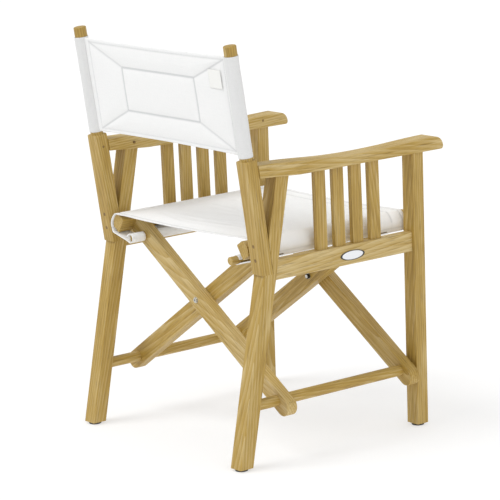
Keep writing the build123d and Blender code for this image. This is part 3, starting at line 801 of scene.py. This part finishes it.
    def build_panel(self) -> bpy.types.Object:
        """Build the quilted panel.

        Returns:
            The panel as one closed mesh.
        """
        across = np.linspace(-self.half_width, self.half_width, round(2 * self.half_width / self.step) + 1)
        up = np.linspace(0, self.height, round(self.height / self.step) + 1)
        u, v = np.meshgrid(across, up)
        pulled, ripple = self.drape(u, v)
        half = self.half_thickness(u, v)
        edge = np.minimum(v, self.height - v)
        half *= np.clip(edge / self.edge_round, 0.0, 1.0) ** 0.5 * (1 - self.edge_share) + self.edge_share
        rear = self.place(u, pulled, half + ripple)
        front = self.place(u, pulled, -half + ripple)
        index, quads = Cloth.quads(*u.shape)
        quads = quads.reshape(-1, 4)
        loop = np.concatenate([index[0, :-1], index[:-1, -1], index[-1, :0:-1], index[:0:-1, 0]])
        ahead = np.roll(loop, -1)
        count = index.size
        wall = np.stack([loop, ahead, ahead + count, loop + count], -1)
        faces = np.concatenate([quads[:, ::-1], quads + count, wall])
        flat = np.stack([u, v], -1).reshape(-1, 2)
        made = Cloth.mesh("back_panel", np.concatenate([rear.reshape(-1, 3), front.reshape(-1, 3)]), faces,
                          np.concatenate([flat, flat + (0.6, 0.0)]))
        # Painted shade along the seams, the same on both faces.
        lines = self.seams()
        seam_shade = np.zeros(u.shape)
        for part, weight in zip((lines[:4], lines[4:8], lines[8:]), self.seam_shade_shares):
            near = self.seam_distance(u, v, part)
            seam_shade = np.maximum(seam_shade, weight * np.exp(-(near / self.seam_shade_width) ** 2))
        return Cloth.seam_shade(made, np.concatenate([seam_shade.ravel(), seam_shade.ravel()]))

    def build_sleeve(self, side: int, name: str) -> bpy.types.Object:
        """Build the canvas tube over one post.

        Args:
            side: -1 for the sitter's right, 1 for the left.
            name: the object's name.

        Returns:
            The tube, open at both ends, with a hem at each.
        """
        around = np.linspace(0, 2 * math.pi, 49)
        up = np.linspace(-self.sleeve_overhang, self.height + self.sleeve_overhang, 87)
        turn, v = np.meshgrid(around, up)
        soft = (0.28 * MM * np.sin(2 * turn + v / 0.05 + side) + 0.22 * MM * np.sin(3 * turn - v / 0.028)
                + 0.15 * MM * np.sin(v / 0.012 + 2 * turn))
        end = np.minimum(v - up[0], up[-1] - v)
        hem = np.exp(-((end - self.sleeve_hem) / (1.4 * MM)) ** 2)
        outer = self.sleeve_r + soft * np.clip(end / 0.02, 0, 1) - 0.45 * MM * hem
        radius = np.concatenate([outer, np.full(outer.shape, self.sleeve_inner)[::-1]])
        turn, v = np.concatenate([turn, turn[::-1]]), np.concatenate([v, v[::-1]])
        radius = np.concatenate([radius, radius[:1]])
        turn, v = np.concatenate([turn, turn[:1]]), np.concatenate([v, v[:1]])
        points = self.place(side * self.post_x + radius * np.cos(turn), v, radius * np.sin(turn))
        made = Cloth.grid(name, points, np.stack([turn * self.sleeve_r, v], -1))
        return weld(made)

    def sewn_lines(self) -> list[np.ndarray]:
        """Trace every seam on both faces of the panel.

        Returns:
            For each seam, its points in metres.
        """
        lines = []
        for (ax, ay), (bx, by) in self.seams():
            count = max(2, round(math.hypot(bx - ax, by - ay) / (5 * MM)))
            t = np.linspace(0, 1, count)
            u, v = ax + t * (bx - ax), ay + t * (by - ay)
            pulled, ripple = self.drape(u, v)
            for face in (1, -1):
                lines.append(self.place(u, pulled, face * (self.core + 0.15 * MM) + ripple))
        return lines

    def build_label(self) -> bpy.types.Object:
        """Build the blank label.

        Returns:
            A thin ribbon on the rear of the panel.
        """
        low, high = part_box("back_label")
        middle = (low + high) / 2
        u_mid = middle.x
        v_mid = (middle - self.origin).dot(self.rise)
        width, height = self.label_size
        across, up = np.linspace(-width / 2, width / 2, 22), np.linspace(-height / 2, height / 2, 21)
        u, v = np.meshgrid(across, up)
        lifted = self.core + self.puff + 0.9 * MM + 0.35 * MM * np.sin(u / 0.009 + 1) * np.cos(v / 0.011)
        made = Cloth.grid("back_label_ribbon", self.place(u + u_mid, v + v_mid, lifted), np.stack([u, v], -1))
        return Cloth.thicken(made, 0.5 * MM)

    def dress(self) -> None:
        """Build every piece, give it its finish and tie it to the frame."""
        panel = self.build_panel()
        panel.data.materials.append(self.canvas)
        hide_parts("back_sling")
        threads = self.stitching.sew("back_panel_stitches", self.sewn_lines())
        label = self.build_label()
        label.data.materials.append(self.label_cloth)
        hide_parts("back_label")
        for piece in (panel, threads, label):
            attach(piece, "right_frame")
            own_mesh(piece)
        for side, name in ((-1, "right"), (1, "left")):
            sleeve = self.build_sleeve(side, f"{name}_back_sleeve")
            sleeve.data.materials.append(self.shaded_sleeve_canvas)
            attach(sleeve, f"{name}_frame")
        LOG.info("back sling: panel, stitches, label and two sleeves")


def weld(obj: bpy.types.Object) -> bpy.types.Object:
    """Merge a tube's doubled seam points and point its faces outwards.

    Args:
        obj: the tube.

    Returns:
        The same object.
    """
    work = bmesh.new()
    work.from_mesh(obj.data)
    bmesh.ops.remove_doubles(work, verts=work.verts, dist=0.02 * MM)
    bmesh.ops.recalc_face_normals(work, faces=work.faces)
    work.to_mesh(obj.data)
    work.free()
    return obj


@dataclass
class SeatSling:
    """Canvas seat over both seat rails, hemmed round the rods inside them and notched round the X-legs."""

    canvas: bpy.types.Material
    stitching: Stitching
    rail_x: float = 227 * MM
    rail_inner: float = 12 * MM
    rail_shoulder: float = 8 * MM
    rail_crown: float = 17 * MM
    rail_half_height: float = 18 * MM
    clear: float = 1.2 * MM
    rod_r: float = 9 * MM
    thickness: float = 1.6 * MM
    droop: float = 8 * MM  # how far the wrap hangs below the rail
    front_y: float = -220 * MM
    rear_y: float = 207.5 * MM
    rear_skew: float = 11.5 * MM
    sag: float = 4 * MM
    notch_clear: float = 3 * MM
    step: float = 4 * MM
    front_seams: tuple[float, ...] = (9 * MM, 40 * MM)  # behind the front edge
    pucker: float = 2.4 * MM  # depth of the small folds down each side
    rear_seam: float = 11 * MM  # in front of the rear edge
    side_seam: float = 118 * MM  # along the cloth from the end of its rod hem, low on each wrap
    legs: tuple[str, ...] = ("outer_rear_xleg", "inner_rear_xleg", "inner_front_xleg", "outer_front_xleg")
    wrinkle_count: int = 26
    wrinkle_seed: int = 11
    seam_groove: float = 0.7 * MM
    hem_turn: tuple[float, float] = (-60.0, -385.0)  # degrees round the rod, where its hem starts and ends
    free_x: float = 0.205  # the cloth is off the rails nearer the middle than this
    ease_x: float = 0.05  # and takes this far to leave them
    pivot_z: float = field(init=False)
    tilt: float = field(init=False)
    points: np.ndarray = field(init=False)  # the sheet before it is cut and thickened
    rear: np.ndarray = field(init=False)  # its rear edge
    steps: np.ndarray = field(init=False)  # lengths along its section, from one hem

    def __post_init__(self) -> None:
        """Read the X-legs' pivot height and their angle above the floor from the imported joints."""
        joints = {j["name"]: j for j in frame["joints"]}
        foot, middle = joints["right_stretcher_hinge"]["pos_m"], joints["leg_pivot"]["pos_m"]
        self.pivot_z = middle[2]
        self.tilt = math.atan2(middle[2] - foot[2], middle[0] - foot[0])

    def half_profile(self) -> tuple[np.ndarray, np.ndarray]:
        """Section of the left half of the sling, from its rod to the middle of the seat.

        Returns:
            Points (x, z) in metres, and for each whether it may be cut away at a leg.
        """
        along = np.array((math.cos(self.tilt), math.sin(self.tilt)))
        square = np.array((-math.sin(self.tilt), math.cos(self.tilt)))
        centre = np.array((self.rail_x, self.pivot_z + self.rail_x * math.tan(self.tilt)))
        low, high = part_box("left_sling_rod")
        rod = np.array(((low.x + high.x) / 2, (low.z + high.z) / 2))
        rod_u = float((rod - centre) @ along)
        wrap = self.rod_r + self.clear
        lip = self.rail_half_height + self.clear
        turns = np.radians(np.linspace(*self.hem_turn, 30))
        loop = np.stack([rod_u + wrap * np.cos(turns), wrap * np.sin(turns)], -1)
        loop = loop[::-1][:-3]
        under = np.array([(rod_u + wrap * math.cos(math.radians(-75)), wrap * math.sin(math.radians(-75))),
                          (-0.6 * self.rail_half_height, -lip - 0.45 * self.droop),
                          (0.1 * self.rail_half_height, -lip - self.droop)])
        crown = []
        for angle in np.linspace(-80, 90, 24):
            a = math.radians(angle)
            bulge = self.rail_crown + self.clear - self.rail_shoulder
            out = bulge * math.cos(a) ** 0.8 if angle < 89 else 0.0
            crown.append((self.rail_shoulder + out, lip * math.sin(a)))
        local = np.concatenate([loop, under, np.array(crown)])
        local = smooth_path(local, 1.5 * MM, rounds=3)
        cut = (local[:, 0] < 6 * MM) & (local[:, 1] < 14 * MM)
        world = centre + local[:, :1] * along + local[:, 1:] * square
        last = world[-1]
        flat_x = np.linspace(last[0], 0, round(last[0] / self.step) + 1)[1:]
        flat = np.stack([flat_x, np.full(flat_x.shape, last[1])], -1)
        return np.concatenate([world, flat]), np.concatenate([cut, np.zeros(len(flat), bool)])

    def rows(self) -> np.ndarray:
        """Space the cloth's rows.

        Returns:
            Shares of the way from the front edge to the rear edge, closer together at the seams.
        """
        depth = self.rear_y - self.front_y
        places = list(np.arange(0, depth, self.step))
        for seam in (*self.front_seams, depth - self.rear_seam):
            places += [seam + d * MM for d in (-3, -1.5, 0, 1.5, 3)]
        return np.unique(np.round(np.array(sorted(places + [depth])) / depth, 5))

    def wrinkles(self, x: np.ndarray, y: np.ndarray) -> np.ndarray:
        """Height of the soft folds in the seat.

        Args:
            x: across the chair.
            y: along it.

        Returns:
            The height to add, in metres.
        """
        spread = np.random.RandomState(self.wrinkle_seed)
        height = np.zeros(x.shape)
        for _ in range(self.wrinkle_count):
            x0 = spread.uniform(-0.2, 0.2)
            y0 = spread.uniform(-0.19, 0.19)
            slope = spread.uniform(-0.35, 0.35)
            reach, width = spread.uniform(0.05, 0.13), spread.uniform(0.006, 0.014)
            size = spread.uniform(-1.5, 2.0) * MM
            off = (y - y0) - slope * (x - x0)
            height += size * np.exp(-(off / width) ** 2 - ((x - x0) / reach) ** 2)
        return height

    def build(self) -> bpy.types.Object:
        """Build the whole sling.

        Returns:
            One thick sheet, cut away round the X-legs.
        """
        half, half_cut = self.half_profile()
        profile = np.concatenate([half, half[-2::-1] * (-1, 1)])
        cut = np.concatenate([half_cut, half_cut[-2::-1]])
        shares = self.rows()
        steps = np.concatenate([[0], np.cumsum(np.hypot(*np.diff(profile, axis=0).T))])
        x = np.broadcast_to(profile[:, 0], (len(shares), len(profile))).copy()
        z = np.broadcast_to(profile[:, 1], x.shape).copy()
        rear = self.rear_y + self.rear_skew * np.clip(x / self.rail_x, -1, 1)
        y = self.front_y + shares[:, None] * (rear - self.front_y)
        inner = np.clip((self.free_x - np.abs(x)) / self.ease_x, 0, 1) * (~cut)
        ease = inner * inner * (3 - 2 * inner)
        z += ease * (self.wrinkles(x, y) - self.sag * np.clip(1 - (x / 0.2) ** 2, 0, 1))
        top = (z > profile[:, 1].max() - 20 * MM).astype(float)
        off = np.stack([np.abs(y - self.front_y - seam) for seam in self.front_seams]
                       + [np.abs(rear - y - self.rear_seam)]).min(0)
        from_hem = np.minimum(steps, steps[-1] - steps)
        side_off = np.broadcast_to(np.abs(from_hem - self.side_seam), off.shape)
        z -= self.seam_groove * top * np.exp(-(off / (1.8 * MM)) ** 2)
        # Painted shade along the seams across the seat, stronger on top, and along the side seam of each
        # wrap.
        seam_shade = np.maximum((0.15 + 0.3 * top) * np.exp(-(off / (2.2 * MM)) ** 2),
                           0.35 * np.exp(-(side_off / (2.0 * MM)) ** 2))
        flank = np.exp(-((from_hem - self.side_seam - 22 * MM) / (20 * MM)) ** 2)
        pucker = np.abs(np.sin(y / 0.013 + 0.8 * np.sin(y / 0.037)) * np.sin(y / 0.052 + 0.4 + np.sign(x)))
        x += np.sign(x) * self.pucker * flank * pucker
        points = np.stack([x, y, z], -1)
        keep = np.ones((len(shares) - 1, len(profile) - 1), bool)
        mid_y = (y[:-1, :-1] + y[1:, 1:]) / 2
        mid_x = (x[:-1, :-1] + x[1:, 1:]) / 2
        low = cut[:-1] & cut[1:]
        for leg in self.legs:
            leg_low, leg_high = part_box(leg)
            side = 1 if leg.startswith("outer") else -1
            hit = (mid_y > leg_low.y - self.notch_clear) & (mid_y < leg_high.y + self.notch_clear)
            keep &= ~(hit & low & (side * mid_x > 0))
        self.points, self.rear, self.steps = points, rear, steps
        flat = np.stack([np.broadcast_to(steps, x.shape), y], -1)
        made = Cloth.grid("seat_canvas", points, flat, keep, seam_shade)
        return Cloth.thicken(made, self.thickness)

    def sewn_lines(self) -> list[np.ndarray]:
        """Trace the seams across the seat.

        Returns:
            For each seam, its points in metres, just above the cloth.
        """
        crown = int(np.argmax(self.points[0, :, 0]))
        columns = slice(crown, self.points.shape[1] - crown)
        raised = self.points[:, columns] + (0.0, 0.0, self.thickness / 2 + 0.1 * MM)
        y = raised[..., 1]
        lines = []
        targets = [self.front_y + seam for seam in self.front_seams]
        for target in targets + [self.rear[:, columns] - self.rear_seam]:
            row = np.abs(y - target).argmin(0)
            lines.append(raised[row, np.arange(raised.shape[1])])
        return lines

    def dress(self) -> None:
        """Build the sling and its stitches, give the sling its finish and bake both into world space."""
        seat = self.build()
        seat.data.materials.append(self.canvas)
        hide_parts("seat_sling")
        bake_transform(seat)
        threads = self.stitching.sew("seat_stitches", self.sewn_lines())
        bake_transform(threads)
        LOG.info("seat sling: %d points", len(seat.data.vertices))


def smooth_path(points: np.ndarray, step: float, rounds: int) -> np.ndarray:
    """Resample a line evenly and round its corners.

    Args:
        points: the line's points.
        step: distance between new points.
        rounds: how many times each point moves to the mean of itself and its neighbours.

    Returns:
        The new points; the ends stay.
    """
    along = np.concatenate([[0], np.cumsum(np.hypot(*np.diff(points, axis=0).T))])
    places = np.linspace(0, along[-1], round(along[-1] / step) + 1)
    line = np.stack([np.interp(places, along, points[:, i]) for i in (0, 1)], -1)
    for _ in range(rounds):
        line[1:-1] = (line[:-2] + 2 * line[1:-1] + line[2:]) / 4
    return line[::2] if len(line) % 2 else np.concatenate([line[:-1:2], line[-1:]])


@dataclass
class Timberwork:
    """Every piece of wood, each with the grain direction and shade of its own board; some shades also carry
    painted highlight.
    """

    boards: dict[str, tuple[Grain, float]] = field(default_factory=lambda: {
        "front_leg": (Grain.UPRIGHT, 0.1), "rear_leg": (Grain.REAR_LEG, 0.0),
        # armrests and side rails are set far paler: partly their own tone, partly painted highlight for faces
        # that catch the light
        "back_post": (Grain.BACK_POST, 0.15), "armrest": (Grain.LENGTHWISE, -0.55),
        "side_rail": (Grain.LENGTHWISE, -0.9),
        "slat_1": (Grain.UPRIGHT, 0.35), "slat_2": (Grain.UPRIGHT, 0.0), "slat_3": (Grain.UPRIGHT, 0.25),
        "slat_4": (Grain.UPRIGHT, 0.1), "stretcher": (Grain.LENGTHWISE, 0.05),
        "screw_plugs": (Grain.LENGTHWISE, 0.7), "locking_pins": (Grain.LENGTHWISE, 0.6)})
    crossed: dict[str, tuple[Grain, float]] = field(default_factory=lambda: {
        # the outer rear X-leg is set pale: partly its own tone, partly painted highlight on its lit upper
        # faces
        "outer_rear_xleg": (Grain.RISES_LEFT, -0.7), "outer_front_xleg": (Grain.RISES_LEFT, 0.2),
        "inner_rear_xleg": (Grain.RISES_RIGHT, 0.0), "inner_front_xleg": (Grain.RISES_RIGHT, 0.25),
        "left_seat_rail": (Grain.LENGTHWISE, 0.3), "right_seat_rail": (Grain.LENGTHWISE, 0.2),
        "left_sling_rod": (Grain.LENGTHWISE, 0.2), "right_sling_rod": (Grain.LENGTHWISE, 0.1)})

    def dress(self) -> None:
        """Give every wooden CAD node its own board of teak."""
        pieces = {f"{side}_{part}": board
                  for side in ("right", "left") for part, board in self.boards.items()}
        pieces.update(self.crossed)
        for number, (node, (grain, shade)) in enumerate(sorted(pieces.items())):
            low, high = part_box(node)
            teak = OiledTeak(grain, (low + high) / 2, number, shade)
            if node.endswith(("plugs", "pins")):  # end grain, darker all over
                teak = replace(teak, pale="A4884C", mid="836530", dark="5E451E")
            put_on(node, teak.material(f"oiled_teak_{node}"))
        LOG.info("timberwork: %d pieces of teak", len(pieces))


def put_on(node: str, material: bpy.types.Material) -> None:
    """Give a CAD node one material.

    Args:
        node: the CAD node's name.
        material: its finish.
    """
    mesh = frame["nodes"][node].data
    mesh.materials.clear()
    mesh.materials.append(material)


@dataclass
class Hardware:
    """Steel pivots, nylon glides and the blank badge, whose CAD meshes only need a finish."""

    def dress(self) -> None:
        """Give each node its finish."""
        steel = StainlessSteel("DEDDD8", "B0AFAA").material("polished_stainless_steel")
        for node in ("pivot_bolts", "pivot_washers"):
            put_on(node, steel)
        # The nuts' steel is painted dark: painted shade of the recesses they sit in and a painted dark
        # reflection.
        put_on("pivot_nuts", StainlessSteel("5A5750", "35332F").material("stainless_steel_painted_shade"))
        nylon = MouldedNylon().material("moulded_black_nylon")
        for node in ("right_glides", "left_glides"):
            put_on(node, nylon)
        low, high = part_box("badge_plate")
        plate = EnamelledPlate((low + high) / 2, (high.y - low.y) / 2, (high.z - low.z) / 2)
        put_on("badge_plate", plate.material("white_enamelled_plate"))
        LOG.info("hardware: pivots, glides and badge")


@dataclass
class Studio:
    """Pale floor, soft light and the camera."""

    target: Vector = field(default_factory=lambda: Vector((-2.33, 23.89, 396.0)) * MM)
    azimuth: float = math.radians(232.67)
    elevation: float = math.radians(11.83)
    roll: float = math.radians(-2.61)
    distance: float = 6002.6 * MM
    lens: float = 195.75
    sensor: float = 36.0
    floor_half: float = 30.0
    floor_glow: float = 0.56
    world_strength: float = 0.5
    # For each sun: its name, the direction it shines from, its strength and its width in degrees.
    suns: tuple[tuple[str, tuple[float, float, float], float, float], ...] = (
        ("key", (0.3, 0.7, 1.1), 1.40, 34), ("fill", (-0.9, 0.15, 0.35), 0.75, 60),
        ("top", (0.1, -0.45, 1.2), 0.55, 60))

    def build_camera(self) -> None:
        """Place a long lens behind the chair's right rear corner, a little above the arms."""
        a, e = self.azimuth, self.elevation
        back = Vector((math.sin(a) * math.cos(e), -math.cos(a) * math.cos(e), math.sin(e)))
        right = (-back).cross(UP).normalized()
        up = right.cross(-back)
        turned = right * math.cos(self.roll) + up * math.sin(self.roll)
        upright = up * math.cos(self.roll) - right * math.sin(self.roll)
        data = bpy.data.cameras.new("camera")
        data.lens, data.sensor_width = self.lens, self.sensor
        camera = add_object("camera", data)
        camera.matrix_world = (Matrix.Translation(self.target + back * self.distance)
                               @ Matrix((turned, upright, back)).transposed().to_4x4())
        bpy.context.scene.camera = camera

    def build_floor(self) -> None:
        """Lay a wide matt white floor, lit from within just enough to stay white."""
        material, tree = new_material("matt_white_floor")
        surfaced(material, {
            "Base Color": linear("B4B4B4"), "Roughness": 1.0, "Specular IOR Level": 0.0,
            "Emission Color": (1.0, 1.0, 1.0, 1.0), "Emission Strength": self.floor_glow})
        half = self.floor_half
        data = bpy.data.meshes.new("floor")
        corners = [(-half, -half, 0), (half, -half, 0), (half, half, 0), (-half, half, 0)]
        data.from_pydata(corners, [], [(0, 1, 2, 3)])
        data.materials.append(material)
        floor = add_object("floor", data)

    def build_lights(self) -> None:
        """Surround the chair with white and add a soft key, a fill and a top light."""
        world = bpy.data.worlds.new("studio")
        world.use_nodes = True
        background = world.node_tree.nodes["Background"]
        background.inputs["Color"].default_value = (1.0, 1.0, 1.0, 1.0)
        background.inputs["Strength"].default_value = self.world_strength
        bpy.context.scene.world = world
        for name, towards, strength, spread in self.suns:
            data = bpy.data.lights.new(name, "SUN")
            data.energy, data.angle = strength, math.radians(spread)
            light = add_object(name, data)
            light.rotation_mode = "QUATERNION"
            light.rotation_quaternion = Vector(towards).to_track_quat("Z", "Y")

    def build(self) -> None:
        """Build the whole studio."""
        bpy.context.scene.view_settings.view_transform = "Standard"
        self.build_camera()
        self.build_floor()
        self.build_lights()
        LOG.info("studio: camera, floor and lights")


def main() -> None:
    """Build and dress the chair, one sub-assembly after another."""
    logging.basicConfig(level=logging.INFO, format="%(message)s")
    Studio().build()
    canvas = AcrylicCanvas().material("off_white_canvas")
    # The sleeves get a greyer copy of the canvas: partly the single layer over the timber, partly painted
    # shade for sleeves turned away from the light.
    shaded_sleeve_canvas = AcrylicCanvas(colour="E8E8E7", hollow="D6D7D7").material("canvas_over_timber_painted_shade")
    stitching = Stitching(SewingThread().material("bonded_thread"))
    Timberwork().dress()
    Hardware().dress()
    BackSling(canvas, shaded_sleeve_canvas, SatinLabel().material("blank_satin_label"), stitching).dress()
    SeatSling(canvas, stitching).dress()


if __name__ == "__main__":
    main()
